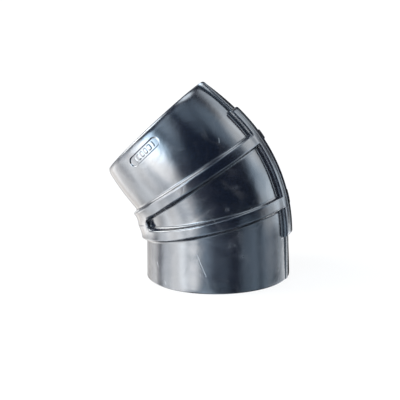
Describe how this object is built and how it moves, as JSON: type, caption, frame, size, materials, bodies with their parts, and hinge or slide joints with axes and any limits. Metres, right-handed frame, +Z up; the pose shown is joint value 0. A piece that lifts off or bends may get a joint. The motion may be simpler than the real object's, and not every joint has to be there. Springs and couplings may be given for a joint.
{
  "type": "pvc pipe elbow fitting",
  "caption": "Moulded dark PVC elbow with a plain pipe socket at each end of a swept 45 degree bend, stiffened by hoop ribs and a spine rib.",
  "frame": {"origin": "centre of the lower socket's mouth, on the pipe axis and in the plane of the mouth", "axes": "+Z up into the lower socket along its axis, XZ is the plane of the bend and of the parting line, the upper socket leans towards -X and the spine rib runs down the +X side"},
  "size_m": [0.242, 0.198, 0.2575],
  "materials": {
    "dark_pvc": "glossy as moulded"
  },
  "bodies": {
    "root": {"lower_socket": "dark_pvc", "lower_pipe_stop": "dark_pvc", "bend_segment": "dark_pvc", "upper_socket": "dark_pvc", "upper_pipe_stop": "dark_pvc", "lower_hoop_rib": "dark_pvc", "upper_hoop_rib": "dark_pvc", "crotch_web": "dark_pvc", "spine_rib": "dark_pvc", "lower_parting_land": "dark_pvc", "upper_parting_land": "dark_pvc"}
  },
  "joints": []
}
